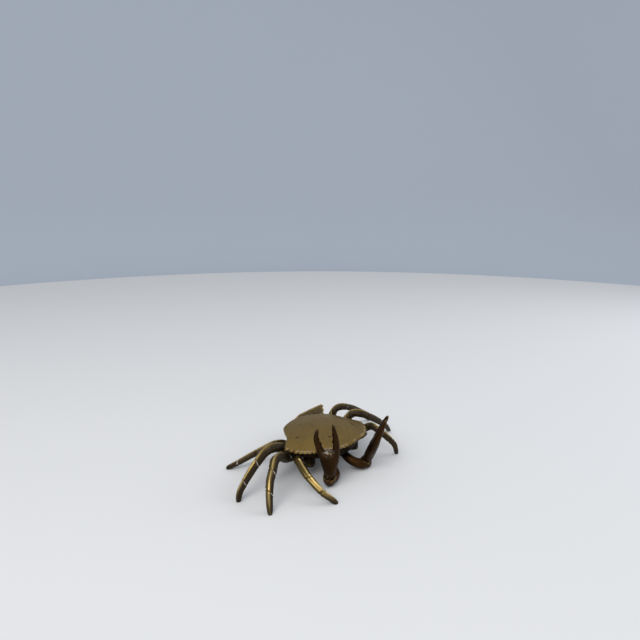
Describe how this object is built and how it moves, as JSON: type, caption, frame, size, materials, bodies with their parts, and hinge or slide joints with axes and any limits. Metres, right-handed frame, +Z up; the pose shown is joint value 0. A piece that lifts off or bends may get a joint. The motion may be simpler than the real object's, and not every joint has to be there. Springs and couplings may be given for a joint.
{
  "type": "crab figurine",
  "caption": "Cast brass crab ornament that opens as a small box: a domed carapace lid hinged at the rear over a shallow pan on curved legs, with raised claws.",
  "frame": {"origin": "on the table under the middle of the crab, midway between its outermost feet", "axes": "+X to the crab's left, -Y to its front where the claws are, +Z up"},
  "size_m": [0.159, 0.0911, 0.05],
  "materials": {
    "shell_brass": "aged olive-brown brass, worn smooth, low sheen",
    "pan_brass": "dark tarnished cast brass",
    "tail_brass": "greyish aged brass with grooves",
    "leg_brass": "aged brass, rubbed gold on the ridges, dark below, pale residue in the joint lines",
    "claw_brass": "dark brown tarnished brass",
    "pin_brass": "dark drawn brass rod",
    "rivet_brass": "peened brass"
  },
  "bodies": {
    "body": {"body_pan": "pan_brass", "tail_plate": "tail_brass", "hinge_pin": "pin_brass", "tail_rivets": "rivet_brass", "right_front_leg": "leg_brass", "right_second_leg": "leg_brass", "right_third_leg": "leg_brass", "right_rear_leg": "leg_brass", "left_front_leg_stub": "leg_brass", "left_second_leg": "leg_brass", "left_third_leg": "leg_brass", "left_rear_leg": "leg_brass", "leg_rivets": "rivet_brass", "right_claw_arm": "claw_brass", "left_claw_arm": "claw_brass", "right_claw": "claw_brass", "left_claw": "claw_brass", "claw_rivets": "rivet_brass", "wrist_pins": "rivet_brass"},
    "lid": {"carapace_lid": "shell_brass"}
  },
  "joints": [
    {"name": "lid_hinge", "type": "hinge", "parent": "body", "child": "lid", "pos_m": [0, 0.03475, 0.02027], "axis": [-1, 0, 0], "range_deg": [0, 75]}
  ]
}
